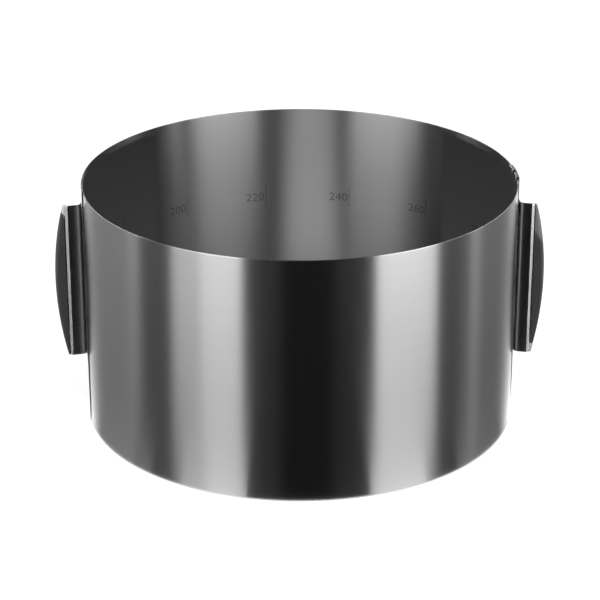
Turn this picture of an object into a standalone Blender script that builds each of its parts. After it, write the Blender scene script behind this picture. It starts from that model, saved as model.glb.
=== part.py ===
"""Adjustable cake ring: two curved steel bands that slide inside each other, a guide that holds
their lap together, and a stamped steel bracket with a moulded grip on each side.

Units are metres. The origin is on the ring's axis at the height of the surface it stands on.
+Z is up, the handles lie on +X and -X, and the front of the ring faces -Y.
Azimuths are degrees about +Z, counted from +X."""

import math

import bmesh
import bpy
from mathutils import Vector

# Bands
RING_RADIUS = 0.148
BAND_HEIGHT = 0.170
BAND_THICKNESS = 0.0005
RUNNING_GAP = 0.0003
CORNER_RADIUS = 0.004
FACET_DEG = 2.0
LAP_START_DEG = 174.0
OUTER_LAP_END_DEG = 190.0
OUTER_END_LEAD = 0.0018
INNER_END_LEAD = 0.0070

# Guide that holds the sliding lap
GUIDE_THICKNESS = 0.0005
GUIDE_MARGIN = 0.00055
TAB_THICKNESS = 0.0005
TAB_WIDTH = 0.010
TAB_SPACING = 0.0154
TAB_CENTRE_DEG = 5.3
TAB_LIP_HEIGHT = 0.0028
TAB_LIP_THICKNESS = 0.0006
NOTCH_RAMP = 0.0012

# Handle brackets
HANDLE_HEIGHT = 0.0954
HANDLE_LENGTH = 0.111
BRACKET_THICKNESS = 0.0012
BEND_RADIUS = 0.004
BEND_STEPS = 8
WEB_SWING_DEG = 15.0
WEB_LENGTH = 0.0054
HANDLE_TURN_DEG = 0.85
MOUNT_FLANGE_WIDTH = 0.016
JOGGLE_RUN = 0.0021
JOGGLE_DEPTH = 0.0017
TONGUE_SLOPE_DEG = 30.0
TONGUE_MARGIN = 0.0001
TONGUE_WALL = 0.0015
TONGUE_STEPS = 30

# Ear of the bracket that stops the grip at one end
EAR_LENGTH = 0.0055
EAR_RAMP = 0.003
EAR_GAP = 0.0005
EAR_STEPS = 4

# Grips
SEAT_GAP = 0.0003
GRIP_SAGITTA = 0.0062
GRIP_TIP = 0.0003
GRIP_RECESS = 0.001
GRIP_DEPTH = 0.009
GRIP_END_DEPTH = 0.0008
GRIP_END_GAP = 0.001
GRIP_EDGE_RADIUS = 0.0014
GRIP_EDGE_STEPS = 3
EDGE_LIMIT_SHARE = 0.45

# Grip screws
SCREW_SPACING = 0.036
SCREW_OFFSET = 0.0026
SCREW_TIP_COVER = 0.0015
SCREW_SHANK_RADIUS = 0.0009
SCREW_LENGTH = 0.0052
SCREW_HEAD_RADIUS = 0.0017
SCREW_HEAD_DEPTH = 0.0009
SCREW_POINT_LENGTH = 0.0009
SCREW_CLEARANCE = 0.0003
RECESS_SPAN = 0.0018
RECESS_WIDTH = 0.0005
RECESS_DEPTH = 0.0005
ROUND_SEGMENTS = 24
CUT_OVERRUN = 0.001

# Radii, places and heights that follow from them
OUTER_FACE = RING_RADIUS + BAND_THICKNESS
INNER_BAND_FACE = RING_RADIUS - RUNNING_GAP
INNER_BAND_BORE = INNER_BAND_FACE - BAND_THICKNESS
EDGE_SETBACK = TAB_THICKNESS + RUNNING_GAP
GUIDE_SEAT = OUTER_FACE + SEAT_GAP
GUIDE_FACE = GUIDE_SEAT + GUIDE_THICKNESS
GUIDE_REACH_DEG = math.degrees(((TAB_SPACING + TAB_WIDTH) / 2 + GUIDE_MARGIN) / GUIDE_SEAT)
GUIDE_START_DEG = TAB_CENTRE_DEG - GUIDE_REACH_DEG
GUIDE_END_DEG = TAB_CENTRE_DEG + GUIDE_REACH_DEG
OUTER_FREE_END_DEG = GUIDE_START_DEG - math.degrees(OUTER_END_LEAD / RING_RADIUS)
INNER_FREE_END_DEG = GUIDE_END_DEG + math.degrees(INNER_END_LEAD / RING_RADIUS)
BEND_TURN = math.radians(90 - WEB_SWING_DEG)
WEB_ROOT_X = (GUIDE_FACE + SEAT_GAP + BRACKET_THICKNESS / 2
              + BEND_RADIUS * (1 - math.cos(BEND_TURN)))
WEB_END_X = WEB_ROOT_X + WEB_LENGTH
TONGUE_START_X = WEB_END_X + JOGGLE_RUN
TONGUE_ROOT_X = TONGUE_START_X + TONGUE_MARGIN
GRIP_SEAT_X = TONGUE_ROOT_X + EAR_GAP
GRIP_FRONT_Y = GRIP_RECESS - BRACKET_THICKNESS / 2
HANDLE_LOW = HANDLE_HEIGHT - HANDLE_LENGTH / 2
HANDLE_HIGH = HANDLE_HEIGHT + HANDLE_LENGTH / 2
EAR_TOP = HANDLE_LOW + EAR_LENGTH
RAMP_TOP = EAR_TOP + EAR_RAMP

RIGHT = 1
LEFT = -1
SHARP_ANGLE_DEG = 30.0

# Looks: base colour, roughness, metallic
BAND_STEEL = ((0.36, 0.36, 0.37), 0.28, 1.0)
GUIDE_STEEL = ((0.62, 0.62, 0.63), 0.25, 1.0)
BRACKET_STEEL = ((0.30, 0.30, 0.31), 0.30, 1.0)
SCREW_STEEL = ((0.50, 0.50, 0.51), 0.25, 1.0)
GRIP_PLASTIC = ((0.055, 0.055, 0.057), 0.65, 0.0)


def clear_scene():
    for thing in list(bpy.data.objects):
        bpy.data.objects.remove(thing)


def dress(thing, look):
    """Gives an object its own material from a colour, a roughness and a metallic value."""
    colour, roughness, metallic = look
    material = bpy.data.materials.new(thing.name)
    material.use_nodes = True
    shader = material.node_tree.nodes["Principled BSDF"]
    shader.inputs["Base Color"].default_value = (*colour, 1.0)
    shader.inputs["Roughness"].default_value = roughness
    shader.inputs["Metallic"].default_value = metallic
    material.diffuse_color = (*colour, 1.0)
    thing.data.materials.append(material)


def finish(name, bm, look):
    """Closes a bmesh into an object with outward faces, smooth where its faces meet gently."""
    bmesh.ops.recalc_face_normals(bm, faces=bm.faces)
    mesh = bpy.data.meshes.new(name)
    bm.to_mesh(mesh)
    bm.free()
    mesh.shade_smooth()
    mesh.set_sharp_from_angle(angle=math.radians(SHARP_ANGLE_DEG))
    thing = bpy.data.objects.new(name, mesh)
    bpy.context.scene.collection.objects.link(thing)
    if look:
        dress(thing, look)
    return thing


def cutter(name, bm):
    tool = finish(name, bm, None)
    tool.hide_render = True
    tool.display_type = "WIRE"
    return tool


def cut(target, tool):
    boolean = target.modifiers.new("cut_" + tool.name, "BOOLEAN")
    boolean.operation = "DIFFERENCE"
    boolean.solver = "EXACT"
    boolean.object = tool


def polar(radius, azimuth_deg, height):
    angle = math.radians(azimuth_deg)
    return Vector((radius * math.cos(angle), radius * math.sin(angle), height))


def azimuths(start, end, step=FACET_DEG):
    """Evenly spaced azimuths from start to end, about one facet apart."""
    count = max(1, round(abs(end - start) / step))
    return [start + (end - start) * i / count for i in range(count + 1)]


def arc_deg(length, radius):
    return math.degrees(length / radius)


def loft(bm, rings):
    """Joins rings of equally many points with quads and closes both ends."""
    rows = [[bm.verts.new(point) for point in ring] for ring in rings]
    for near, far in zip(rows, rows[1:]):
        for i in range(len(near)):
            j = (i + 1) % len(near)
            bm.faces.new((near[i], near[j], far[j], far[i]))
    bm.faces.new(rows[0])
    bm.faces.new(rows[-1])


def band_mesh(bore, face, sections):
    """A curved strip: each section is an azimuth with the strip's lower and upper edge there."""
    bm = bmesh.new()
    rings = []
    for azimuth, low, high in sections:
        rings.append([polar(bore, azimuth, low), polar(face, azimuth, low),
                      polar(face, azimuth, high), polar(bore, azimuth, high)])
    loft(bm, rings)
    return bm


def rounded_end(end_deg, inward, radius, low, high, steps=5):
    """Sections of a strip's end whose two corners are quarter circles."""
    sections = []
    for i in range(steps + 1):
        turn = math.pi / 2 * i / steps
        along = CORNER_RADIUS * (1 - math.cos(turn))
        inset = CORNER_RADIUS * (1 - math.sin(turn))
        sections.append((end_deg + inward * arc_deg(along, radius), low + inset, high - inset))
    return sections


def make_outer_band():
    """Back strip, full height, with a slightly narrower end where the guide's tabs pass over it."""
    low, high = EDGE_SETBACK, BAND_HEIGHT - EDGE_SETBACK
    step_start = GUIDE_END_DEG + arc_deg(RUNNING_GAP, OUTER_FACE)
    step_end = step_start + arc_deg(NOTCH_RAMP, OUTER_FACE)
    narrow = rounded_end(OUTER_FREE_END_DEG, 1, OUTER_FACE, low, high)
    narrow += [(a, low, high) for a in azimuths(narrow[-1][0], step_start)[1:]]
    full = [(a, 0, BAND_HEIGHT) for a in azimuths(step_end, OUTER_LAP_END_DEG)]
    sections = narrow + full
    return finish("outer_band", band_mesh(RING_RADIUS, OUTER_FACE, sections), BAND_STEEL)


def make_inner_band():
    """Front strip that slides inside the outer one; its origin is on the ring's axis."""
    low, high = EDGE_SETBACK, BAND_HEIGHT - EDGE_SETBACK
    free_end = rounded_end(INNER_FREE_END_DEG, -1, INNER_BAND_FACE, low, high)
    rest = azimuths(free_end[-1][0], LAP_START_DEG - 360)[1:]
    sections = free_end + [(a, low, high) for a in rest]
    return finish("inner_band", band_mesh(INNER_BAND_BORE, INNER_BAND_FACE, sections), BAND_STEEL)


def guide_tabs():
    """Azimuth ranges of the two tabs, which are as far apart at the top as at the bottom."""
    half_tab = arc_deg(TAB_WIDTH / 2, GUIDE_SEAT)
    half_space = arc_deg(TAB_SPACING / 2, GUIDE_SEAT)
    centres = (TAB_CENTRE_DEG - half_space, TAB_CENTRE_DEG + half_space)
    return [(centre - half_tab, centre + half_tab) for centre in centres]


def guide_plate(bm, spread, heights):
    """A curved plate as a grid of cells; returns its inner faces by azimuth step and height step."""
    inner = [[bm.verts.new(polar(GUIDE_SEAT, a, z)) for z in heights] for a in spread]
    outer = [[bm.verts.new(polar(GUIDE_FACE, a, z)) for z in heights] for a in spread]
    last = len(heights) - 1
    cells = {}
    for i in range(len(spread) - 1):
        for k in range(last):
            near, far = inner[i], inner[i + 1]
            cells[i, k] = bm.faces.new((near[k], near[k + 1], far[k + 1], far[k]))
            bm.faces.new((outer[i][k], outer[i + 1][k], outer[i + 1][k + 1], outer[i][k + 1]))
        for k in (0, last):
            bm.faces.new((inner[i][k], inner[i + 1][k], outer[i + 1][k], outer[i][k]))
    for end in (0, -1):
        for k in range(last):
            bm.faces.new((inner[end][k], inner[end][k + 1], outer[end][k + 1], outer[end][k]))
    bmesh.ops.recalc_face_normals(bm, faces=bm.faces)
    return cells


def make_slide_guide():
    """Plate outside the lap, with tabs folded over the bands' edges at the top and the bottom."""
    lip_face = INNER_BAND_BORE - RUNNING_GAP
    lip_bore = lip_face - TAB_LIP_THICKNESS
    tabs = guide_tabs()
    stops = [GUIDE_START_DEG, *tabs[0], *tabs[1], GUIDE_END_DEG]
    spread = [GUIDE_START_DEG]
    for start, end in zip(stops, stops[1:]):
        spread += azimuths(start, end)[1:]
    heights = [0, TAB_THICKNESS, BAND_HEIGHT - TAB_THICKNESS, BAND_HEIGHT]
    bm = bmesh.new()
    cells = guide_plate(bm, spread, heights)
    for row, fold in ((0, 1), (len(heights) - 2, -1)):
        for start, end in tabs:
            steps = [i for i in range(len(spread) - 1) if start < (spread[i] + spread[i + 1]) / 2 < end]
            reached = draw_inward(bm, [cells[i, row] for i in steps], lip_face)
            tips = draw_inward(bm, reached, lip_bore)
            fold_lip(bm, tips, fold, (lip_face + lip_bore) / 2)
    return finish("slide_guide", bm, GUIDE_STEEL)


def grow(bm, faces):
    """Extrudes faces, drops the old ones and returns the new vertices and faces."""
    grown = bmesh.ops.extrude_face_region(bm, geom=faces)["geom"]
    bmesh.ops.delete(bm, geom=faces, context="FACES_KEEP_BOUNDARY")
    corners = [part for part in grown if isinstance(part, bmesh.types.BMVert)]
    return corners, [part for part in grown if isinstance(part, bmesh.types.BMFace)]


def draw_inward(bm, faces, radius):
    """Extrudes faces towards the ring's axis until they stand at the given radius."""
    corners, tips = grow(bm, faces)
    for corner in corners:
        corner.co.xy = corner.co.xy.normalized() * radius
    return tips


def fold_lip(bm, tips, fold, middle_radius):
    """Extrudes the end of a tab, the faces about its middle radius, up or down along the band."""
    bm.normal_update()
    beside = {face for tip in tips for edge in tip.edges for face in edge.link_faces}
    under = [face for face in beside if face.normal.z * fold > 0.9
             and face.calc_center_median().xy.length < middle_radius + TAB_LIP_THICKNESS / 2]
    corners = grow(bm, under)[0]
    bmesh.ops.translate(bm, verts=corners, vec=(0, 0, fold * TAB_LIP_HEIGHT))


def swung(x, y):
    """Where a point of the handle's plan, drawn with the web along X, stands once the web is swung
    forwards about its root."""
    swing, reach = math.radians(WEB_SWING_DEG), x - WEB_ROOT_X
    return Vector((WEB_ROOT_X + reach * math.cos(swing) + y * math.sin(swing),
                   y * math.cos(swing) - reach * math.sin(swing), 0))


def outline_x(z):
    """Reach of the handle's bowed outline at a height, an arc between the handle's two ends."""
    half = HANDLE_LENGTH / 2
    radius = (half * half + GRIP_SAGITTA * GRIP_SAGITTA) / (2 * GRIP_SAGITTA)
    offset = z - HANDLE_HEIGHT
    bow = math.sqrt(radius * radius - offset * offset) - (radius - GRIP_SAGITTA)
    return GRIP_SEAT_X + GRIP_TIP + bow


def ear_x(z):
    """Reach of the ear's slanted upper edge, from the outline back to the tongue's root."""
    along = (z - EAR_TOP) / EAR_RAMP
    return outline_x(EAR_TOP) + (TONGUE_ROOT_X - outline_x(EAR_TOP)) * along


def tongue_x(z):
    """Reach of the bracket's tongue: bare ear up to the outline, then inside the grip."""
    if z <= EAR_TOP:
        return outline_x(z)
    if z <= RAMP_TOP:
        return ear_x(z)
    return max(TONGUE_ROOT_X, outline_x(z) - TONGUE_WALL)


def tongue_point(x):
    """Point of the tongue's centre line, which slopes back from the joggle."""
    rise = (x - TONGUE_START_X) * math.tan(math.radians(TONGUE_SLOPE_DEG))
    return swung(x, JOGGLE_DEPTH + rise)


def evenly(start, end, steps):
    return [start + (end - start) * i / steps for i in range(steps + 1)]


def tongue_heights():
    return evenly(RAMP_TOP, HANDLE_HIGH, TONGUE_STEPS)


def bracket_path(seat):
    """Centre line of the sheet seen from above: forwards along the band, bent out as the web,
    which leans forwards, and joggled back to the tongue."""
    radius = seat + SEAT_GAP + BRACKET_THICKNESS / 2
    bend_end_x = radius + BEND_RADIUS * (1 - math.cos(BEND_TURN))
    bend_end_y = (WEB_ROOT_X - bend_end_x) * math.tan(math.radians(WEB_SWING_DEG))
    bend_start_y = bend_end_y + BEND_RADIUS * math.sin(BEND_TURN)
    width_deg = math.degrees(math.asin(MOUNT_FLANGE_WIDTH / radius))
    bend_deg = math.degrees(math.asin(bend_start_y / radius))
    path = [polar(radius, a, 0) for a in azimuths(width_deg, bend_deg)]
    start = path[-1]
    for i in range(1, BEND_STEPS + 1):
        turn = BEND_TURN * i / BEND_STEPS
        path.append(Vector((start.x + BEND_RADIUS * (1 - math.cos(turn)),
                            start.y - BEND_RADIUS * math.sin(turn), 0)))
    path.append(swung(WEB_END_X, 0))
    path.append(tongue_point(TONGUE_START_X))
    return path


def sheet_outline(path, thickness):
    """Closed outline of a sheet that lies half its thickness on either side of its centre line,
    mitred where the line turns."""
    left, right = [], []
    for i, point in enumerate(path):
        into = (point - path[i - 1]).normalized() if i else None
        out = (path[i + 1] - point).normalized() if i < len(path) - 1 else into
        into = into or out
        along = (into + out).normalized()
        across = Vector((-along.y, along.x, 0)) * thickness / 2 / along.dot(out)
        left.append(point + across)
        right.append(point - across)
    return left + right[::-1]


def placed(point, z, side):
    """A point of the right handle, or of the left one, which is the same part turned upside down.
    Both stand the same little way round the ring, so they stay opposite each other."""
    x, height = (point.x, z) if side == RIGHT else (-point.x, 2 * HANDLE_HEIGHT - z)
    turn = math.radians(HANDLE_TURN_DEG)
    return Vector((x * math.cos(turn) - point.y * math.sin(turn),
                   x * math.sin(turn) + point.y * math.cos(turn), height))


def make_bracket(name, side, seat):
    """Stamped sheet: a flange on the band, a web that stands straight out, and a tongue in the
    grip, whose lower end is left bare as an ear."""
    path = bracket_path(seat)
    heights = evenly(HANDLE_LOW, EAR_TOP, EAR_STEPS) + tongue_heights()
    rings = []
    for z in heights:
        outline = sheet_outline(path + [tongue_point(tongue_x(z))], BRACKET_THICKNESS)
        rings.append([placed(p, z, side) for p in outline])
    bm = bmesh.new()
    loft(bm, rings)
    return finish(name, bm, BRACKET_STEEL)


def grip_depth(z):
    """Depth of the grip from front to back, fullest at its middle, an ellipse along its length."""
    share = (z - HANDLE_HEIGHT) / (HANDLE_LENGTH / 2)
    return GRIP_END_DEPTH + (GRIP_DEPTH - GRIP_END_DEPTH) * math.sqrt(max(0, 1 - share * share))


def grip_section(z):
    """Outline of the grip in the handle's plan at one height, with its two outer edges rounded."""
    inner = GRIP_SEAT_X
    if z < RAMP_TOP:
        inner = max(inner, ear_x(z) + EAR_GAP)
    outer = outline_x(z)
    back = GRIP_FRONT_Y + grip_depth(z)
    radius = min(GRIP_EDGE_RADIUS, (outer - inner) * EDGE_LIMIT_SHARE, grip_depth(z) * EDGE_LIMIT_SHARE)
    section = [(inner, GRIP_FRONT_Y), (inner, back)]
    for i in range(GRIP_EDGE_STEPS + 1):
        turn = math.pi / 2 * i / GRIP_EDGE_STEPS
        section.append((outer - radius * (1 - math.sin(turn)), back - radius * (1 - math.cos(turn))))
    for i in range(GRIP_EDGE_STEPS + 1):
        turn = math.pi / 2 * i / GRIP_EDGE_STEPS
        section.append((outer - radius * (1 - math.cos(turn)),
                        GRIP_FRONT_Y + radius * (1 - math.sin(turn))))
    return section


def make_grip(name, side):
    """Moulded crescent, its front set back a little from the web's, bowed at its outer and its back
    face, with a slot that takes the bracket's tongue."""
    heights = evenly(EAR_TOP + GRIP_END_GAP, RAMP_TOP, EAR_STEPS) + tongue_heights()[1:]
    bm = bmesh.new()
    loft(bm, [[placed(swung(x, y), z, side) for x, y in grip_section(z)] for z in heights])
    grip = finish(name, bm, GRIP_PLASTIC)
    mouth = tongue_point(GRIP_SEAT_X - CUT_OVERRUN)
    rings = []
    for z in tongue_heights():
        path = [mouth, tongue_point(tongue_x(z) + SEAT_GAP)]
        outline = sheet_outline(path, BRACKET_THICKNESS + 2 * SEAT_GAP)
        rings.append([placed(p, z, side) for p in outline])
    bm = bmesh.new()
    loft(bm, rings)
    cut(grip, cutter(name + "_slot", bm))
    return grip


def screw_head_y():
    return GRIP_FRONT_Y + SCREW_TIP_COVER + SCREW_LENGTH


def turned(bm, profile, side, height):
    """Revolves (along, radius) points about a grip screw's axis, which runs from the grip's back
    face forwards."""
    centre_x = GRIP_SEAT_X + SCREW_OFFSET
    rings = []
    for along, radius in profile:
        ring = []
        for i in range(ROUND_SEGMENTS):
            angle = 2 * math.pi * i / ROUND_SEGMENTS
            axis_point = swung(centre_x + radius * math.cos(angle), screw_head_y() - along)
            ring.append(placed(axis_point, height + radius * math.sin(angle), side))
        rings.append(ring)
    loft(bm, rings)


def screw_profile():
    """Countersunk head, plain shank, and a blunt point."""
    shank_end = SCREW_LENGTH - SCREW_POINT_LENGTH
    return [(0, SCREW_HEAD_RADIUS), (SCREW_HEAD_DEPTH, SCREW_SHANK_RADIUS),
            (shank_end, SCREW_SHANK_RADIUS), (SCREW_LENGTH, SCREW_SHANK_RADIUS / 2)]


def hole_profile():
    """The same shape with its clearance all round, and a pocket for the head in the grip's back."""
    mouth = SCREW_HEAD_RADIUS + SCREW_CLEARANCE
    bore = SCREW_SHANK_RADIUS + SCREW_CLEARANCE
    pocket = GRIP_DEPTH + CUT_OVERRUN
    return [(-pocket, mouth), (0, mouth), (SCREW_HEAD_DEPTH, bore),
            (SCREW_LENGTH + SCREW_CLEARANCE, bore)]


def make_recess(side, height, name):
    """Cross-shaped drive recess in a screw's head."""
    span, width = RECESS_SPAN / 2, RECESS_WIDTH / 2
    plus = [(span, -width), (span, width), (width, width), (width, span), (-width, span),
            (-width, width), (-span, width), (-span, -width), (-width, -width), (-width, -span),
            (width, -span), (width, -width)]
    centre_x = GRIP_SEAT_X + SCREW_OFFSET
    bm = bmesh.new()
    rings = []
    for y in (screw_head_y() + CUT_OVERRUN, screw_head_y() - RECESS_DEPTH):
        rings.append([placed(swung(centre_x + x, y), height + z, side) for x, z in plus])
    loft(bm, rings)
    return cutter(name, bm)


def make_handle(word, side, seat):
    bracket = make_bracket(word + "_bracket", side, seat)
    grip = make_grip(word + "_grip", side)
    for place, sign in (("lower", -1), ("upper", 1)):
        height = HANDLE_HEIGHT + side * sign * SCREW_SPACING / 2
        name = word + "_" + place + "_grip_screw"
        bm = bmesh.new()
        turned(bm, screw_profile(), side, height)
        screw = finish(name, bm, SCREW_STEEL)
        cut(screw, make_recess(side, height, name + "_recess"))
        bm = bmesh.new()
        turned(bm, hole_profile(), side, height)
        hole = cutter(name + "_hole", bm)
        cut(bracket, hole)
        cut(grip, hole)


clear_scene()
make_outer_band()
make_inner_band()
make_slide_guide()
make_handle("right", RIGHT, GUIDE_FACE)
make_handle("left", LEFT, OUTER_FACE)
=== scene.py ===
import math

import bmesh
import bpy
import numpy as np
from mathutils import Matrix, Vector


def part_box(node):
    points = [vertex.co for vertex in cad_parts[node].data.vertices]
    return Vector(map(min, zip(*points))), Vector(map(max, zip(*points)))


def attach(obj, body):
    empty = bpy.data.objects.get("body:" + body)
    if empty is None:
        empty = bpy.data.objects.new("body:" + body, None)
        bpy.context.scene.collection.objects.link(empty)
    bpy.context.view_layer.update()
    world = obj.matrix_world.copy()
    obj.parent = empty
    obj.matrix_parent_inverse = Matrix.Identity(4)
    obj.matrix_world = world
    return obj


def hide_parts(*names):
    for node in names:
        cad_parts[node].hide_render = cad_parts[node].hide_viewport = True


# Adjustable cake ring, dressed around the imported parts. Metres; the ring's axis is Z, its front faces -Y,
# and azimuths are degrees about Z counted from +X.

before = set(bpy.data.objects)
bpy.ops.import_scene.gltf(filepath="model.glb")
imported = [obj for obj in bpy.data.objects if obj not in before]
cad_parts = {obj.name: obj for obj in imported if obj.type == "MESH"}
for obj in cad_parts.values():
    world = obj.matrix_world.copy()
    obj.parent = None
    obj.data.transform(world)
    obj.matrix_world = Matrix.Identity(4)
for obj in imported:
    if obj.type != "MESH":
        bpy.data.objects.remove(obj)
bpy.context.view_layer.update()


# Camera
# A long lens on a tripod in front of the ring, looking down on it so that the inside of the back wall
# shows over the rim.
lens_mm = 137.32
sensor_mm = 36.0
camera_distance = 1.4626
camera_height = 0.7028
aim_height = 0.0798

camera_data = bpy.data.cameras.new("tripod_camera")
camera_data.lens = lens_mm
camera_data.sensor_width = sensor_mm
camera = bpy.data.objects.new("tripod_camera", camera_data)
camera.location = (0, -camera_distance, camera_height)
look_down = math.atan2(camera_height - aim_height, camera_distance)
camera.rotation_euler = (math.pi / 2 - look_down, 0, 0)
bpy.context.scene.collection.objects.link(camera)
bpy.context.scene.camera = camera
bpy.context.scene.view_settings.view_transform = "Standard"


# Steel bands
# Two strips of spring-hard stainless sheet, half a millimetre thick, brushed along their length and
# deburred at the edges. The back strip stands still; the front one slides along its inside at the right.
band_thickness = 0.0005
ring_bore = 0.148
outer_face = ring_bore + band_thickness
running_gap = 0.0003
inner_face = ring_bore - running_gap
inner_bore = inner_face - band_thickness
band_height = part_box("outer_band")[1][2]
inner_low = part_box("inner_band")[0][2]
outer_span = (-0.5, 190.0)
inner_span = (13.1, -186.0)
guide_span = (0.2, 10.4)
notch_ramp = 0.0012
corner_radius = 0.004
corner_columns = 13
column_deg = 0.5
edge_round = 0.00019
edge_points = 5
edge_margin = 0.0012
sharp_fold = math.radians(35)

band_colour = 0.56
band_rough = 0.28
line_shade, line_gloss, handling_gloss = 0.05, 0.015, 0.02
brushed_streak = {"Anisotropic": 1.0, "Anisotropic_Rotation": 0.25}
dimple_radius, halo_radius = 0.0014, 0.0030
dimple_gloss, dimple_shade, dimple_depth = 0.12, 0.05, 0.000012
lap_weld_deg, lap_weld_shares = 187.6, (0.12, 0.37, 0.63, 0.88)
end_mark_deg, end_mark_reach = 12.0, 0.0564


class Varying:
    """A shader socket that takes part in sums: each operator adds one Math node."""

    def __init__(self, finish, socket):
        self.finish = finish
        self.socket = socket

    def math(self, operation, *values):
        return self.finish.node("ShaderNodeMath", {"operation": operation}, dict(enumerate(values)))

    def __add__(self, other):
        return self.math("ADD", self, other)

    def __radd__(self, other):
        return self.math("ADD", other, self)

    def __sub__(self, other):
        return self.math("SUBTRACT", self, other)

    def __rsub__(self, other):
        return self.math("SUBTRACT", other, self)

    def __mul__(self, other):
        return self.math("MULTIPLY", self, other)

    def __rmul__(self, other):
        return self.math("MULTIPLY", other, self)

    def __abs__(self):
        return self.math("ABSOLUTE", self)

    def at_least(self, other):
        return self.math("MAXIMUM", self, other)


class Finish:
    """A material being made from one Principled shader: what is the same all over goes on its sockets,
    and what varies over the surface is linked to them."""

    def __init__(self, name, **constants):
        self.material = bpy.data.materials.new(name)
        self.material.use_nodes = True
        self.tree = self.material.node_tree
        self.shader = self.tree.nodes["Principled BSDF"]
        for socket, value in constants.items():
            self.shader.inputs[socket.replace("_", " ")].default_value = value

    def node(self, kind, settings=None, sockets=None, output=0):
        """Adds a node: its settings first, then the values or links of its sockets."""
        made = self.tree.nodes.new(kind)
        for key, value in (settings or {}).items():
            setattr(made, key, value)
        for key, value in (sockets or {}).items():
            self.feed(made.inputs[key], value)
        return Varying(self, made.outputs[output])

    def feed(self, socket, value):
        if isinstance(value, Varying):
            self.tree.links.new(value.socket, socket)
        else:
            socket.default_value = value

    def vary(self, **sockets):
        for socket, value in sockets.items():
            self.feed(self.shader.inputs[socket.replace("_", " ")], value)

    def where(self):
        """The point's Object coordinates, in metres."""
        return self.node("ShaderNodeTexCoord", output="Object")

    def coordinate(self, axis):
        return self.node("ShaderNodeSeparateXYZ", None, {0: self.where()}, axis)

    def ramp(self, value, start, end, low, high, kind="LINEAR"):
        """Goes from low to high while the value goes from start to end, and stays level beyond them."""
        sockets = dict(enumerate((value, start, end, low, high)))
        return self.node("ShaderNodeMapRange", {"interpolation_type": kind}, sockets)

    def noise(self, scale, detail=2.0, rough=0.5):
        """Noise between 0 and 1 whose grains are 1 / scale metres along each axis."""
        stretched = self.node("ShaderNodeMapping", None, {"Vector": self.where(), "Scale": scale})
        sockets = {"Vector": stretched, "Scale": 1.0, "Detail": detail, "Roughness": rough}
        return self.node("ShaderNodeTexNoise", None, sockets)

    def grey(self, level):
        """A level as a colour: level times white."""
        sockets = {0: (1.0, 1.0, 1.0), "Scale": level}
        return self.node("ShaderNodeVectorMath", {"operation": "SCALE"}, sockets)

    def bump(self, height, distance, strength=1.0):
        sockets = {"Strength": strength, "Distance": distance, "Height": height}
        return self.node("ShaderNodeBump", None, sockets)


def closed_mesh(name, *stacks):
    """A closed skin over each stack of loops: point j of loop i is stack[i, j]. Each loop is joined to the
    next by a row of four-sided faces, the first and last loops are filled, and all faces look outwards."""
    points, faces = [], []
    for stack in stacks:
        count, around = stack.shape[:2]
        index = np.arange(count * around).reshape(count, around) + sum(len(part) for part in points)
        near, far = index[:-1], index[1:]
        quads = np.stack([near, np.roll(near, -1, 1), np.roll(far, -1, 1), far], axis=-1)
        points.append(stack.reshape(-1, 3))
        faces += quads.reshape(-1, 4).tolist() + [index[0][::-1].tolist(), index[-1].tolist()]
    mesh = bpy.data.meshes.new(name)
    mesh.from_pydata(np.concatenate(points).tolist(), [], faces)
    bm = bmesh.new()
    bm.from_mesh(mesh)
    bmesh.ops.recalc_face_normals(bm, faces=bm.faces)
    bm.to_mesh(mesh)
    bm.free()
    return mesh


def shaded(mesh):
    """Shades a mesh smooth, except across its sharp folds."""
    mesh.shade_smooth()
    mesh.set_sharp_from_angle(angle=sharp_fold)


def piece(mesh, finish, ride_on, slot, *replaced):
    """Gives a mesh its finish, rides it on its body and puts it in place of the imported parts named."""
    shaded(mesh)
    mesh.materials.append(finish.material)
    thing = bpy.data.objects.new(mesh.name, mesh)
    bpy.context.scene.collection.objects.link(thing)
    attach(thing, ride_on)
    if replaced:
        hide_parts(*replaced)
    return thing


def sheet_edge(bore, face, ease):
    """Outline across a strip, from its outer face over the top edge and down the inner face, both edges
    rounded by quarter circles: radius, the edge that the point goes with (0 low, 1 high), and its height
    above that edge."""
    turn = np.radians(np.linspace(0, 90, edge_points))
    rise = ease * np.sin(turn)
    out = ease * np.cos(turn)
    top_radius = np.concatenate([[face], face - ease + out, bore + ease - out[::-1], [bore]])
    top_rise = np.concatenate([[-edge_margin], rise - ease, (rise - ease)[::-1], [-edge_margin]])
    radius = np.concatenate([top_radius, top_radius[::-1]])
    level = np.repeat([1.0, 0.0], len(top_radius))
    return radius, level, np.concatenate([top_rise, -top_rise[::-1]])


def strip(bore, face, azimuth_deg, low, high, ease=edge_round):
    """Loops of a curved strip: at each azimuth the outline across the sheet runs between the lower and the
    upper edge there, turned about the ring's axis by that azimuth."""
    radius, level, rise = sheet_edge(bore, face, ease)
    angle = np.radians(azimuth_deg)[:, None]
    height = low[:, None] * (1 - level) + high[:, None] * level + rise
    return np.stack([radius * np.cos(angle), radius * np.sin(angle), height + 0 * angle], axis=-1)


def columns(start, end, radius):
    """Azimuths along a strip and the inset of its edges there. At the start, whose corners are rounded, the
    azimuths crowd together and the inset is a quarter circle of the corner radius."""
    reach = math.degrees(corner_radius / radius) * np.sign(end - start)
    turn = np.radians(np.linspace(0, 90, corner_columns))
    rounded = start + reach * (1 - np.cos(turn))
    count = round(abs(end - rounded[-1]) / column_deg)
    azimuth = np.concatenate([rounded, np.linspace(rounded[-1], end, count + 1)[1:]])
    inset = np.zeros_like(azimuth)
    inset[:corner_columns] = corner_radius * (1 - np.sin(turn))
    return azimuth, inset


def on_ring(radius, azimuth_deg, height):
    angle = math.radians(azimuth_deg)
    return (radius * math.cos(angle), radius * math.sin(angle), height)


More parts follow.
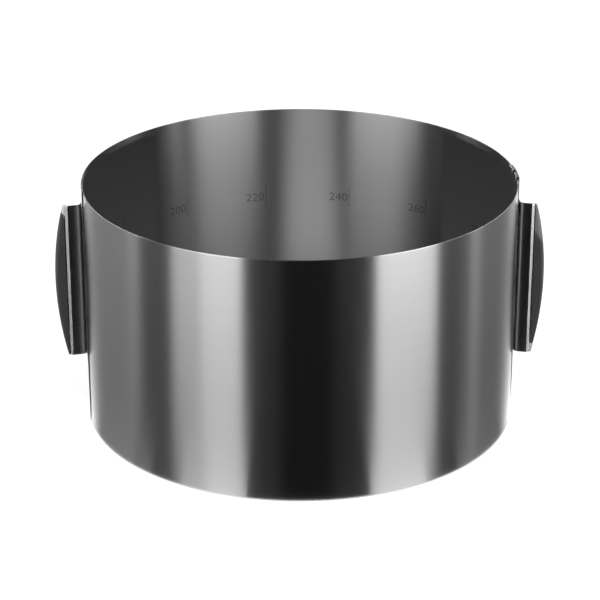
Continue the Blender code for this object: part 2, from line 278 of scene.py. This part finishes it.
def brushed_steel(name, colour, rough, dimple_places=()):
    """Stainless sheet brushed round the ring, which draws reflections out into upright streaks. Long and
    short scratch lines change its shade and gloss, handling changes its gloss in soft patches, and each
    dimple, left by a spot weld or a punch, is shallow with a faint halo."""
    finish = Finish(name, Metallic=1.0, **brushed_streak)
    long_lines = finish.noise((7, 7, 620), detail=3.0)
    short_lines = finish.noise((38, 38, 2300), detail=2.0)
    handling = finish.noise((16, 16, 11), detail=3.0, rough=0.6)
    lines = long_lines * 0.55 + short_lines * 0.45
    gloss = rough + (lines - 0.5) * line_gloss + (handling - 0.5) * handling_gloss
    shade = colour + (lines - 0.5) * line_shade
    dimples = None
    for centre in dimple_places:
        away = finish.node("ShaderNodeVectorMath", {"operation": "DISTANCE"},
                           {0: finish.where(), 1: centre}, "Value")
        dimple = finish.ramp(away, halo_radius, dimple_radius, 0.0, 1.0, "SMOOTHSTEP")
        gloss = gloss + dimple * dimple_gloss
        shade = shade - dimple * dimple_shade
        dimples = dimple if dimples is None else dimples + dimple
    finish.vary(Base_Color=finish.grey(shade), Roughness=gloss)
    if dimples is not None:
        finish.vary(Normal=finish.bump(0 - dimples, dimple_depth))
    return finish


lap_welds = [on_ring(ring_bore, lap_weld_deg, band_height * share) for share in lap_weld_shares]
end_marks = [on_ring(ring_bore, end_mark_deg, band_height / 2 + away)
             for away in (-end_mark_reach, end_mark_reach)]
outer_steel = brushed_steel("outer_band_brushed_steel", band_colour, band_rough, lap_welds)
inner_steel = brushed_steel("inner_band_brushed_steel", band_colour, band_rough, end_marks)

# Under the guide the back strip is a little lower at both edges, to make room for the tabs.
ramp_start = guide_span[1] + math.degrees(running_gap / outer_face)
ramp_end = ramp_start + math.degrees(notch_ramp / outer_face)
even_azimuth, even_inset = columns(*outer_span, outer_face)
azimuth = np.sort(np.append(even_azimuth, [ramp_start, ramp_end]))
inset = np.interp(azimuth, even_azimuth, even_inset)
notch = inner_low * np.interp(azimuth, [ramp_start, ramp_end], [1, 0])
low, high = inset + notch, band_height - inset - notch
piece(closed_mesh("outer_band_sheet", strip(ring_bore, outer_face, azimuth, low, high)),
      outer_steel, "fixed_half", "outer_band_steel", "outer_band")

azimuth, inset = columns(*inner_span, inner_face)
low, high = inset + inner_low, band_height - inset - inner_low
piece(closed_mesh("inner_band_sheet", strip(inner_bore, inner_face, azimuth, low, high)),
      inner_steel, "sliding_half", "inner_band_steel", "inner_band")


# Engraved scale
# Diameters in millimetres, etched dark into the inside of the back strip at mid height: a thin upright
# line for each 20 mm, with its number to the left. The free end of the front strip slides to the line.
scale_mm = range(160, 300, 20)
scale_zero_deg, scale_zero_mm = 75.65, 240
scale_line_low, scale_line_high = 0.0946, 0.1104
scale_line_width = 0.0005
digit_height = 0.0062
digit_low = 0.0990
digit_gap = 0.0012
digit_curve_steps = 3
number_width = 0.0139
etch_depth = 0.00003
etched_shade, etched_rough = 0.27, 0.5
same_point = 1e-7

etched = Finish("etched_scale_marks", Metallic=1.0, Anisotropic=0.3)
grain = etched.noise((900, 900, 900), detail=3.0)
etched.vary(Base_Color=etched.grey(etched_shade + (grain - 0.5) * 0.10),
            Roughness=etched_rough + (grain - 0.5) * 0.2)


def number_mesh(text):
    """A number as flat letters of thickness 1, and its points: lower right corner at the origin, x along
    the text, y up."""
    curve = bpy.data.curves.new("number_" + text, "FONT")
    curve.body = text
    curve.size = 1.0
    curve.extrude = 0.5
    curve.resolution_u = digit_curve_steps
    drawn = bpy.data.objects.new("number_" + text, curve)
    bpy.context.scene.collection.objects.link(drawn)
    bpy.context.view_layer.update()
    mesh = bpy.data.meshes.new_from_object(drawn)
    bpy.data.objects.remove(drawn)
    bpy.data.curves.remove(curve)
    points = np.empty(len(mesh.vertices) * 3)
    mesh.vertices.foreach_get("co", points)
    points = points.reshape(-1, 3)
    points[:, :2] -= (points[:, 0].max(), points[:, 1].min())
    points[:, :2] *= (number_width / -points[:, 0].min(), digit_height / points[:, 1].max())
    return mesh, points


def bar_points():
    """A line of the scale as a thin box in the coordinates of a number: its eight corners and six faces."""
    half = scale_line_width / 2
    corners = np.array([(x, y, z) for x in (-half, half) for y in (0, 1) for z in (-0.5, 0.5)])
    corners[:, 1] = scale_line_low + corners[:, 1] * (scale_line_high - scale_line_low)
    faces = [(0, 1, 3, 2), (4, 6, 7, 5), (0, 4, 5, 1), (2, 3, 7, 6), (0, 2, 6, 4), (1, 5, 7, 3)]
    return corners, faces


def wrap(points, azimuth_deg):
    """Bends flat marks onto the inside of the back strip: x runs clockwise along the wall, y up and z
    inwards, so the azimuth falls by x / bore and the radius by z times the etching's depth."""
    angle = math.radians(azimuth_deg) - points[:, 0] / ring_bore
    radius = ring_bore - etch_depth / 2 - points[:, 2] * etch_depth
    return np.stack([radius * np.cos(angle), radius * np.sin(angle), points[:, 1]], axis=-1)


marks = bmesh.new()
for diameter in scale_mm:
    mark_deg = scale_zero_deg - math.degrees(math.pi * (diameter - scale_zero_mm) / 1000 / ring_bore)
    corners, faces = bar_points()
    bar = bpy.data.meshes.new("bar")
    bar.from_pydata(wrap(corners, mark_deg).tolist(), [], faces)
    number, points = number_mesh(str(diameter))
    points[:, 0] -= digit_gap
    points[:, 1] += digit_low
    number.vertices.foreach_set("co", wrap(points, mark_deg).ravel())
    for part in (bar, number):
        marks.from_mesh(part)
        bpy.data.meshes.remove(part)
bmesh.ops.remove_doubles(marks, verts=marks.verts, dist=same_point)
bmesh.ops.recalc_face_normals(marks, faces=marks.faces)
scale_mesh = bpy.data.meshes.new("engraved_scale")
marks.to_mesh(scale_mesh)
marks.free()
piece(scale_mesh, etched, "fixed_half", "outer_band_steel")


# Slide guide
# A stamped plate outside the lap, spot-welded to the back strip. Two tabs at the top and two at the
# bottom are folded over both strips' edges and hold the front strip's free end while it slides.
guide_back, guide_face = 0.1488, 0.1493
guide_edge_round = 0.00018
guide_columns = 46
tab_width = 0.010
tab_spacing = 0.0154
tab_centre_deg = 5.3
tab_sheet = 0.0005
tab_bend = 0.00045
tab_bend_points = 7
tab_columns = 13
tab_root_depth = 0.0030
tab_lip_radius = 0.1466
tab_lip_height = 0.0028
tab_edge_round = 0.00014
guide_colour, guide_rough = 0.66, 0.20

guide_steel = brushed_steel("guide_bright_steel", guide_colour, guide_rough)


def fold_path():
    """Centre line of a tab, (radius, height above the strip's edge level): up inside the plate, a quarter
    turn inwards, across the two strips' edges, and a quarter turn down into the lip."""
    turn = np.radians(np.linspace(0, 90, tab_bend_points))
    top = -tab_sheet / 2
    root = (guide_back + guide_face) / 2
    outer = np.stack([root - tab_bend * (1 - np.cos(turn)),
                      top - tab_bend * (1 - np.sin(turn))], axis=-1)
    inner = np.stack([tab_lip_radius + tab_bend * (1 - np.sin(turn)),
                      top - tab_bend * (1 - np.cos(turn))], axis=-1)
    ends = [(root, top - tab_root_depth)], [(tab_lip_radius, -tab_sheet - tab_lip_height)]
    return np.concatenate([ends[0], outer, inner, ends[1]])


def thickened(path, thickness):
    """Closed outline of a sheet whose centre line is the path: the path moved half the thickness to each
    side, square to its direction."""
    along = np.gradient(path, axis=0)
    along /= np.linalg.norm(along, axis=1)[:, None]
    across = np.stack([-along[:, 1], along[:, 0]], axis=-1) * thickness / 2
    return np.concatenate([path + across, (path - across)[::-1]])


def tab(start_deg, end_deg, upwards):
    """Loops of one tab: its outline carried round the ring's axis from start to end."""
    outline = thickened(fold_path(), tab_sheet)
    height = band_height + outline[:, 1] if upwards else -outline[:, 1]
    angle = np.radians(np.linspace(start_deg, end_deg, tab_columns))[:, None]
    return np.stack([outline[:, 0] * np.cos(angle), outline[:, 0] * np.sin(angle),
                     height + 0 * angle], axis=-1)


def worked(thing, kind, **settings):
    """Works a modifier into a piece's mesh and shades the result."""
    modifier = thing.modifiers.new(kind.lower(), kind)
    for key, value in settings.items():
        setattr(modifier, key, value)
    bpy.context.view_layer.update()
    made = bpy.data.meshes.new_from_object(thing.evaluated_get(bpy.context.evaluated_depsgraph_get()))
    thing.modifiers.clear()
    thing.data = made
    shaded(made)


def eased(thing, width):
    """Rounds a piece's sharp edges, as tumbling does to stamped sheet."""
    worked(thing, "BEVEL", limit_method="ANGLE", angle_limit=sharp_fold, width=width, segments=2)


azimuth = np.linspace(*guide_span, guide_columns)
flat = np.zeros_like(azimuth)
guide_stacks = [strip(guide_back, guide_face, azimuth, flat, flat + band_height, guide_edge_round)]
for side in (-1, 1):
    centre = tab_centre_deg + side * math.degrees(tab_spacing / 2 / guide_back)
    half = math.degrees(tab_width / 2 / guide_back)
    guide_stacks += [tab(centre - half, centre + half, upwards) for upwards in (True, False)]
guide = piece(closed_mesh("slide_guide_plate", *guide_stacks), guide_steel,
              "fixed_half", "guide_steel", "slide_guide")
eased(guide, tab_edge_round)


# Handle brackets
# Stainless sheet, 1.2 mm, stamped and bent on a press: a flange spot-welded along the ring, a web that
# leans a little forwards, a joggle, and a tongue for the grip. Its bare end is an ear that stops the grip.
sheet_thickness = 0.0012
seat_gap = 0.0003
bracket_edge_round = 0.00016
flange_width = 0.016
bend_radius = 0.004
web_swing = math.radians(15)
web_length = 0.0054
bend_turn = math.pi / 2 - web_swing
web_root_x = guide_face + seat_gap + sheet_thickness / 2 + bend_radius * (1 - math.cos(bend_turn))
web_end_x = web_root_x + web_length
joggle_run, joggle_depth = 0.0021, 0.0017
web_ease, tongue_ease = 0.00026, 0.0001
tongue_start_x = web_end_x + joggle_run
tongue_margin, tongue_least = 0.0001, 0.00005
tongue_root_x = tongue_start_x + tongue_margin
tongue_slope = math.tan(math.radians(30))
tongue_wall = 0.0015
ear_length, ear_ramp, ear_gap = 0.0055, 0.003, 0.0005
grip_seat_x = tongue_root_x + ear_gap
grip_tip = 0.0003
grip_sagitta = 0.0062
handle_turn = math.radians(0.85)
handle_low, handle_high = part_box("right_bracket")[0][2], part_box("right_bracket")[1][2]
handle_middle = (handle_low + handle_high) / 2
handle_half = (handle_high - handle_low) / 2
ear_top = handle_low + ear_length
ramp_top = ear_top + ear_ramp

# Painted shade and highlight in the base colour: the web is painted dark and the bend beside the ring less
# dark, in place of the dark reflections they show, and the joggle and the ear beyond it are painted bright
# as a highlight.
bend_painted_shade, web_painted_shade, joggle_painted_highlight = 0.22, 0.10, 0.50
painted_shade_from, painted_shade_to = 0.1520, 0.1545
painted_highlight_from, painted_highlight_to = 0.1580, 0.1586
bracket_rough = 0.24
rolled_depth = 0.000003
bracket_steel = Finish("bracket_satin_steel_painted_light", Metallic=1.0, **brushed_streak)
rolled = bracket_steel.noise((26, 26, 700), detail=3.0)
bracket_wear = bracket_steel.noise((60, 60, 40), detail=2.0)
from_middle = abs(bracket_steel.coordinate("X"))
# Painted shade over the bend and web and painted highlight over the joggle and ear, set by |x|.
bracket_painted_light = (bracket_steel.ramp(from_middle, painted_shade_from, painted_shade_to, bend_painted_shade, web_painted_shade)
                 + bracket_steel.ramp(from_middle, painted_highlight_from, painted_highlight_to, 0.0, joggle_painted_highlight))
bracket_steel.vary(Base_Color=bracket_steel.grey(bracket_painted_light + (rolled - 0.5) * 0.06),
                   Roughness=bracket_rough + (rolled - 0.5) * 0.06 + (bracket_wear - 0.5) * 0.05,
                   Normal=bracket_steel.bump(rolled, rolled_depth))


def swung(x, y):
    """Places in the handle's plan, drawn with its web along x, once the web leans forwards about its root:
    a turn by the swing's angle."""
    reach = x - web_root_x
    return np.stack([web_root_x + reach * math.cos(web_swing) + y * math.sin(web_swing),
                     y * math.cos(web_swing) - reach * math.sin(web_swing)], axis=-1)


def outline_x(height):
    """Reach of the handle's bowed outline: an arc of a circle between the handle's two ends."""
    bow = (handle_half ** 2 + grip_sagitta ** 2) / (2 * grip_sagitta)
    arc = np.sqrt(bow ** 2 - (height - handle_middle) ** 2)
    return grip_seat_x + grip_tip + arc - (bow - grip_sagitta)


def ear_x(height):
    """Reach of the ear's slanted edge, a straight line from the outline back to the tongue's root."""
    return np.interp(height, [ear_top, ramp_top], [outline_x(ear_top), tongue_root_x])


def tongue_x(height):
    """Reach of the tongue: the outline along the bare ear, the ear's slanted edge, then inside the grip."""
    inside = np.maximum(tongue_root_x, outline_x(height) - tongue_wall)
    sloped = np.where(height <= ramp_top, ear_x(height), inside)
    return np.where(height <= ear_top, outline_x(height), sloped)


def tongue_y(x):
    """The tongue's centre line steps back by the joggle's depth, then slopes on in proportion to x."""
    return joggle_depth + (x - tongue_start_x) * tongue_slope


def bracket_path(seat):
    """Centre line of the sheet seen from above: an arc along the ring, an arc outwards, the straight web,
    and a joggle, whose slope changes evenly with x over a short stretch at each of its corners."""
    radius = seat + seat_gap + sheet_thickness / 2
    bend_end_x = radius + bend_radius * (1 - math.cos(bend_turn))
    bend_end_y = (web_root_x - bend_end_x) * math.tan(web_swing)
    bend_start_y = bend_end_y + bend_radius * math.sin(bend_turn)
    along = np.arcsin(np.linspace(flange_width, bend_start_y, 12) / radius)
    flange = np.stack([radius * np.cos(along), radius * np.sin(along)], axis=-1)
    turn = np.linspace(0, bend_turn, 13)[1:]
    bend = flange[-1] + bend_radius * np.stack([1 - np.cos(turn), -np.sin(turn)], axis=-1)
    steep = joggle_depth / joggle_run
    first = np.linspace(web_end_x - web_ease, web_end_x + web_ease, 9)
    second = np.linspace(tongue_start_x - tongue_ease, tongue_start_x + tongue_ease, 5)
    x = np.concatenate([first, second])
    slope = np.interp(x, [first[0], first[-1], second[0], second[-1]], [0, steep, steep, tongue_slope])
    y = np.concatenate([[0], np.cumsum((slope[1:] + slope[:-1]) / 2 * np.diff(x))])
    return np.concatenate([flange, bend, swung(x, y)])


def placed(plan, height, side):
    """Adds heights to points of the right handle's plan. The left handle is the right one turned upside
    down, and both are turned by the same small angle round the ring."""
    x, y = side * plan[..., 0], plan[..., 1]
    height = np.broadcast_to(height if side > 0 else 2 * handle_middle - height, x.shape)
    return np.stack([x * math.cos(handle_turn) - y * math.sin(handle_turn),
                     x * math.sin(handle_turn) + y * math.cos(handle_turn), height], axis=-1)


def bracket_loops(seat, side):
    """Loops round the sheet, stacked along the handle: the path thickened, with its end at the tongue's
    reach."""
    height = np.concatenate([np.linspace(handle_low, ear_top, 12),
                             np.linspace(ear_top, ramp_top, 8)[1:],
                             np.linspace(ramp_top, handle_high, 90)[1:]])
    path = bracket_path(seat)
    end = np.maximum(tongue_x(height), tongue_start_x + tongue_ease + tongue_least)
    tips = swung(end, tongue_y(end))
    loops = [thickened(np.concatenate([path, [tip]]), sheet_thickness) for tip in tips]
    return placed(np.array(loops), height[:, None], side)


for word, side, seat in (("right", 1, guide_face), ("left", -1, outer_face)):
    bracket = piece(closed_mesh(word + "_bracket_sheet", bracket_loops(seat, side)), bracket_steel,
                    "fixed_half", "bracket_steel", word + "_bracket")
    eased(bracket, bracket_edge_round)


# Grips
# Matte black moulded crescents with a fine spark-eroded texture. A slot in the inner side takes the
# tongue, the front stands back a little from the web's, and each back has two pockets for screw heads.
grip_recess = 0.001
grip_depth = 0.009
grip_end_depth = 0.0008
grip_end_gap = 0.001
grip_edge = 0.0014
grip_edge_share = 0.45
grip_thinnest = 0.0003
screw_inset = 0.0026
screw_x = grip_seat_x + screw_inset
screw_spacing = 0.036
pocket_radius = 0.0020
pocket_floor_y = 0.0071
pocket_step_deg = 10

# The right grip's upper end is painted lighter as a sheen in place of a reflection. The left grip's stays
# the plastic's own black.
plastic_shade, painted_sheen_shade = 0.036, 0.16
sheen_slant = 1.5
sheen_from, sheen_to = 0.3708, 0.3753
plastic_rough = 0.55
texture_depth, texture_strength = 0.00008, 0.7


def moulded_plastic(name, upper_painted_sheen):
    """Black plastic whose upper end, above a slanted line, takes a painted sheen: a lighter colour that
    stands in for a reflection. Fine speckles lighten it, and speckles, mottling and scuffs change its gloss
    and height."""
    finish = Finish(name)
    speckle = finish.noise((2100, 2100, 2100), detail=3.0, rough=0.7)
    mottle = finish.noise((420, 420, 420), detail=2.0)
    scuff = finish.noise((90, 90, 22), detail=3.0)
    slant = finish.coordinate("Z") + finish.coordinate("X") * sheen_slant + (mottle - 0.5) * 0.002
    # Painted sheen: the colour goes lighter above the slanted line.
    shade = finish.ramp(slant, sheen_from, sheen_to, plastic_shade, upper_painted_sheen, "SMOOTHSTEP")
    bright_speckle = (speckle - 0.42).at_least(0.0)
    finish.vary(Base_Color=finish.grey(bright_speckle * 0.10 + shade + (mottle - 0.5) * 0.02),
                Roughness=plastic_rough + (speckle - 0.5) * 0.25 + (scuff - 0.5) * 0.12,
                Normal=finish.bump(speckle + mottle * 0.8, texture_depth, texture_strength))
    return finish


def grip_loops(side):
    """Loops round a grip, stacked along its length: outer edges rounded by quarter circles, an ellipse of
    depth along the handle, and a slot in the inner side that follows the tongue with its clearance. Towards
    the thin ends, where the slot reaches the back, it is open there."""
    height = np.concatenate([np.linspace(ear_top + grip_end_gap, ramp_top, 10),
                             np.linspace(ramp_top, handle_high, 110)[1:]])
    share = (height - handle_middle) / handle_half
    depth = grip_end_depth + (grip_depth - grip_end_depth) * np.sqrt(np.maximum(0, 1 - share ** 2))
    inner = np.where(height < ramp_top, np.maximum(grip_seat_x, ear_x(height) + ear_gap), grip_seat_x)
    outer = outline_x(height)
    front = grip_recess - sheet_thickness / 2 + 0 * height
    back = front + depth
    ease = np.minimum(np.minimum(grip_edge, (outer - inner) * grip_edge_share), depth * grip_edge_share)
    reach = np.where(height > ramp_top, np.maximum(inner, tongue_x(height) + seat_gap), inner)
    reach = np.minimum(reach, outer - ease)
    half = (sheet_thickness / 2 + seat_gap) * math.hypot(1, tongue_slope)
    open_back = tongue_y(reach) + half > back - grip_thinnest
    wall_x = np.where(open_back, reach, inner)
    low = [np.minimum(tongue_y(x) - half, back) for x in (inner, reach)]
    high = [np.where(open_back, back, tongue_y(x) + half) for x in (reach, inner)]
    corners = [(inner, front), (inner, low[0]), (reach, low[1]), (reach, high[0]), (wall_x, high[1]),
               (wall_x, back)]
    turn = np.radians(np.linspace(0, 90, 8))
    rounded = [(outer - ease * (1 - math.sin(a)), back - ease * (1 - math.cos(a))) for a in turn]
    rounded += [(outer - ease * (1 - math.cos(a)), front + ease * (1 - math.sin(a))) for a in turn]
    plan = np.array([swung(*point) for point in corners + rounded]).transpose(1, 0, 2)
    return placed(plan, height[:, None], side)


def bored(thing, middle, side):
    """Cuts the round pocket of a screw's head into the grip's back."""
    turn = np.radians(np.arange(0, 360, pocket_step_deg))
    x = screw_x + pocket_radius * np.cos(turn)
    plan = np.stack([swung(x, y + 0 * x) for y in (pocket_floor_y, pocket_floor_y + grip_depth)])
    loops = placed(plan, middle + pocket_radius * np.sin(turn), side)
    drill = bpy.data.objects.new("pocket", closed_mesh("pocket", loops))
    bpy.context.scene.collection.objects.link(drill)
    worked(thing, "BOOLEAN", operation="DIFFERENCE", solver="EXACT", object=drill)
    bpy.data.objects.remove(drill)


for word, side, upper_painted_sheen in (("right", 1, painted_sheen_shade), ("left", -1, plastic_shade)):
    plastic = moulded_plastic(word + "_grip_textured_plastic", upper_painted_sheen)
    grip = piece(closed_mesh(word + "_grip_moulding", grip_loops(side)), plastic,
                 "fixed_half", "grip_plastic", word + "_grip")
    for step in (-1, 1):
        bored(grip, handle_middle + step * screw_spacing / 2, side)


# Grip screws
# Countersunk stainless screws with a cross recess, two in each grip. They go in from the back, through
# the tongue, so that only their heads show there, at the bottom of their pockets.
screw_shade, screw_rough = 0.58, 0.26
screw_steel = Finish("screw_bright_steel", Metallic=1.0)
turned_lines = screw_steel.noise((1500, 1500, 1500), detail=2.0)
screw_steel.vary(Base_Color=screw_steel.grey(screw_shade + (turned_lines - 0.5) * 0.1),
                 Roughness=screw_rough + (turned_lines - 0.5) * 0.12)
for word in ("right", "left"):
    for level in ("lower", "upper"):
        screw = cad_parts[f"{word}_{level}_grip_screw"]
        screw.data.materials.clear()
        screw.data.materials.append(screw_steel.material)


# Table and room
# A pale seamless table that takes the ring's shadow, soft lamps above and beside, and a white room. The
# camera and the steel see table and room bright; what lights other surfaces is weaker.
table_reach = 30.0
table_glow = 0.62
table_lit_share = 0.5
room_light = 0.55
lamps = [("overhead_soft_box", (0.1, -0.35, 1.5), 1.3, 16.0),
         ("left_soft_box", (-1.1, -0.9, 0.9), 0.8, 7.0),
         ("right_soft_box", (1.2, -0.8, 0.9), 0.8, 8.0)]

table_mesh = bpy.data.meshes.new("pale_table")
table_mesh.from_pydata([(-table_reach, -table_reach, 0), (table_reach, -table_reach, 0),
                        (table_reach, table_reach, 0), (-table_reach, table_reach, 0)], [], [(0, 1, 2, 3)])
table = bpy.data.objects.new("pale_table", table_mesh)
bpy.context.scene.collection.objects.link(table)


def seen_directly(finish):
    """1 for camera, glossy and transmission rays, 0 for the rays that light other surfaces."""
    camera_ray, glossy_ray, through_ray = [finish.node("ShaderNodeLightPath", output=name) for name in
                                           ("Is Camera Ray", "Is Glossy Ray", "Is Transmission Ray")]
    return camera_ray.at_least(glossy_ray).at_least(through_ray)


def only_surface(finish, surface):
    """Puts a shader in the place of a material's Principled one."""
    finish.tree.links.new(surface.socket, finish.tree.nodes["Material Output"].inputs["Surface"])
    finish.tree.nodes.remove(finish.shader)


table_finish = Finish("pale_table")
glow = table_finish.node("ShaderNodeEmission", None, {"Strength": seen_directly(table_finish) * table_glow})
lit = table_finish.node("ShaderNodeBsdfDiffuse", None, {"Color": (table_lit_share,) * 3 + (1,)})
only_surface(table_finish, table_finish.node("ShaderNodeAddShader", None, {0: glow, 1: lit}))
table_mesh.materials.append(table_finish.material)

world = bpy.data.worlds.new("pale_room")
bpy.context.scene.world = world
world.use_nodes = True


class Room(Finish):
    """The same node methods on the world's own tree."""

    def __init__(self, owner):
        self.tree = owner.node_tree
        self.shader = self.tree.nodes["Background"]


room = Room(world)
seen = seen_directly(room)
room.vary(Color=(1, 1, 1, 1), Strength=seen + (1 - seen) * room_light)

for name, place, size, power in lamps:
    lamp_data = bpy.data.lights.new(name, "AREA")
    lamp_data.energy = power
    lamp_data.shape = "DISK"
    lamp_data.size = size
    lamp = bpy.data.objects.new(name, lamp_data)
    lamp.location = place
    lamp.rotation_euler = (-Vector(place)).to_track_quat("-Z", "Y").to_euler()
    lamp.visible_glossy = False
    bpy.context.scene.collection.objects.link(lamp)


# Cards
# Polished steel shows its surroundings, so cards stand round it that only reflections see: a tent with two
# tall soft boxes in front, patches of light on the table, and inside a card over the rim and dark screens.
black_card = 0.008
tent_strength = 5.6
tent_radius = 1.5
tent_top, tent_roof = 0.8, 2.0
tent_fade = 0.01
foot_share, foot_table_share = 0.55, 1.6
foot_reach = 0.11
table_middle = 0.3
behind_glow = 0.55
card_level = 0.0010
wall_gap = 0.0002
rim_card_low, rim_card_high = 0.0005, 0.13
side_screen_deg = (43, 97)
side_screen_gap = 0.0025
side_screen_top = 0.005
side_screen_glow = (0.09, 0.05)
inside_start, inside_end = 0.09, 0.002
inside_reach_deg = 60

# Each card: its name, the azimuths in degrees where it starts and ends, its brightness, and the widths of
# its soft edges there. Azimuths count from the camera's side, and those of inside_cards from the back,
# both positive to the right.
cards = [("left soft box", -49, -27.5, 0.97, 2, 1.5), ("left soft box, far part", -64.5, -48, 0.67, 3, 2),
         ("left gap", -86, -62, 0.09, 4, 4), ("left screen edge", -93, -84, 0.36, 4, 5),
         ("left wall", -130, -90, 0.2, 9, 6), ("back left", -200, -134, 0.1, 12, 12),
         ("camera side, left", -26, -9, 0.035, 6, 6), ("camera side, right", 16, 34, 0.03, 6, 3),
         ("right soft box", 36.5, 69.5, 1.04, 3, 3), ("right gap", 68, 88, 0.08, 4, 4),
         ("right screen edge", 91, 100, 0.36, 5, 5), ("right wall", 99, 128, 0.135, 6, 9),
         ("back right", 132, 200, 0.1, 12, 12)]
table_cards = [("table beside, left", -160, -98, 0.15, 10, 8),
               ("table beside, right", 92, 160, 0.115, 8, 10),
               ("pale table behind, left", -215, -152, 2.0, 5, 46),
               ("pale table behind, right", 152, 215, 2.0, 46, 5)]
inside_cards = [("middle of the table inside", -4.5, 10.5, 0.85, 4, 5),
                ("left of the table inside", -41, -13, 0.16, 5, 4),
                ("right of the table inside", 13, 37, 0.16, 4, 8)]
rim_cards = [("left of the opening", -99, -41, 0.53, 13, 3),
             ("middle of the opening", -26, 8, 0.2, 20, 14),
             ("right of the opening", 34, 89, 0.55, 3, 3),
             ("right edge of the opening", 99, 110, 0.4, 2, 2)]


def dimmed(cards, share):
    return [(name, start, end, brightness * share, *soft) for name, start, end, brightness, *soft in cards]


def card_brightness(azimuth_deg, cards):
    """Brightness along a ring of cards: black, raised by each card between its start and end, with edges
    whose rise and fall is 3 t squared less 2 t cubed."""
    total = np.full_like(azimuth_deg, black_card)
    for _, start, end, brightness, soft_start, soft_end in cards:
        rise = np.clip((azimuth_deg - start) / soft_start + 0.5, 0, 1)
        fall = np.clip((end - azimuth_deg) / soft_end + 0.5, 0, 1)
        total = np.maximum(total, brightness * rise * rise * (3 - 2 * rise) * fall * fall * (3 - 2 * fall))
    return total


card_finish = Finish("card_tent")
card = card_finish.node("ShaderNodeAttribute", {"attribute_name": "card"}, output="Fac")
only_surface(card_finish, card_finish.node("ShaderNodeEmission", None, {"Strength": card}))
card_finish.material.cycles.emission_sampling = "NONE"


def glowing(name, grid, glow):
    """A surface through a grid of points, with its brightness in the attribute card, seen only in
    reflections."""
    count, wide = grid.shape[:2]
    index = np.arange(count * wide).reshape(count, wide)
    faces = np.stack([index[:-1, :-1], index[:-1, 1:], index[1:, 1:], index[1:, :-1]], axis=-1)
    mesh = bpy.data.meshes.new(name)
    mesh.from_pydata(grid.reshape(-1, 3).tolist(), [], faces.reshape(-1, 4).tolist())
    values = np.broadcast_to(glow, grid.shape[:2]).ravel().astype(np.float32)
    mesh.attributes.new("card", "FLOAT", "POINT").data.foreach_set("value", values)
    mesh.materials.append(card_finish.material)
    thing = bpy.data.objects.new(name, mesh)
    bpy.context.scene.collection.objects.link(thing)
    thing.visible_camera = False
    thing.visible_diffuse = False
    thing.visible_transmission = False
    thing.visible_shadow = False


def round_points(radius, azimuth_deg, height):
    """Points on a circle about the ring's axis, azimuths from the camera's side."""
    angle = np.radians(azimuth_deg)
    return np.stack([radius * np.sin(angle), -radius * np.cos(angle), height + 0 * angle], axis=-1)


# The tent: bright walls up to the top, then a black roof that closes over the axis.
around = np.linspace(-180, 180, 721)
tent = np.stack([round_points(tent_radius, around, height)
                 for height in (0.0, tent_top, tent_top + tent_fade, tent_roof)]
                + [round_points(0, around, tent_roof)])
lit_levels = np.array([1.0, 1.0, 0.0, 0.0, 0.0])[:, None]
glowing("card_tent", tent, tent_strength * (card_brightness(around, cards) * lit_levels))

# Over the rim: each upright line of the inside wall shows the light that crosses the rim at three times
# its azimuth.
rim = np.stack([round_points(inner_bore, around, band_height + height)
                for height in (rim_card_low, rim_card_high)])
glowing("card_rim", rim, tent_strength * card_brightness(around, rim_cards))

# Inside, a dark screen stands close to each side wall, a little brighter at its foot.
for side in (-1, 1):
    screen_deg = 180 - side * np.linspace(*side_screen_deg, 109)
    screen = np.stack([round_points(inner_bore - side_screen_gap, screen_deg, height)
                       for height in (card_level, band_height - side_screen_top)])
    glowing("card_side_screen", screen, np.array(side_screen_glow)[:, None])

# The table as the steel shows it: each wall of the ring reflects the line that leaves it at twice its
# azimuth.
run = np.concatenate([np.linspace(0, foot_reach, 9), [table_middle, tent_radius]])[:, None, None]
foot = round_points(outer_face + wall_gap / 2, around / 2, card_level)
near = np.clip(1 - run[..., 0] / foot_reach, 0, 1)
foot_cards = dimmed(cards, foot_share) + dimmed(table_cards, foot_table_share)
glowing("card_table", foot + run * round_points(1, around, 0),
        near * card_brightness(around, foot_cards) + (1 - near) * card_brightness(around, table_cards))
across = np.linspace(-1, 1, 41) * (outer_face - wall_gap)
behind = np.stack([np.stack([across, np.sqrt(outer_face ** 2 - across ** 2) + away,
                             0 * across + card_level], axis=-1) for away in (wall_gap, tent_radius)])
glowing("card_table_behind", behind, behind_glow)

# Inside the ring the table is black, with cards fanned out from the back wall: each of its upright lines
# reflects the line that leaves it at twice its azimuth.
disc = np.stack([round_points(radius, around, card_level / 2) for radius in (0, inner_bore)])
glowing("card_disc_inside", disc, black_card)
from_back = np.linspace(-inside_reach_deg, inside_reach_deg, 241)
angle = np.radians(from_back)
share = np.linspace(0, 1, 25)[:, None]
run = inside_start + (2 * inner_bore * np.cos(angle) - inside_end - inside_start) * share
fan = np.stack([inner_bore * np.sin(angle) - run * np.sin(2 * angle),
                inner_bore * np.cos(angle) - run * np.cos(2 * angle), 0 * run + card_level], axis=-1)
glowing("card_inside_ring", fan, card_brightness(from_back, inside_cards))
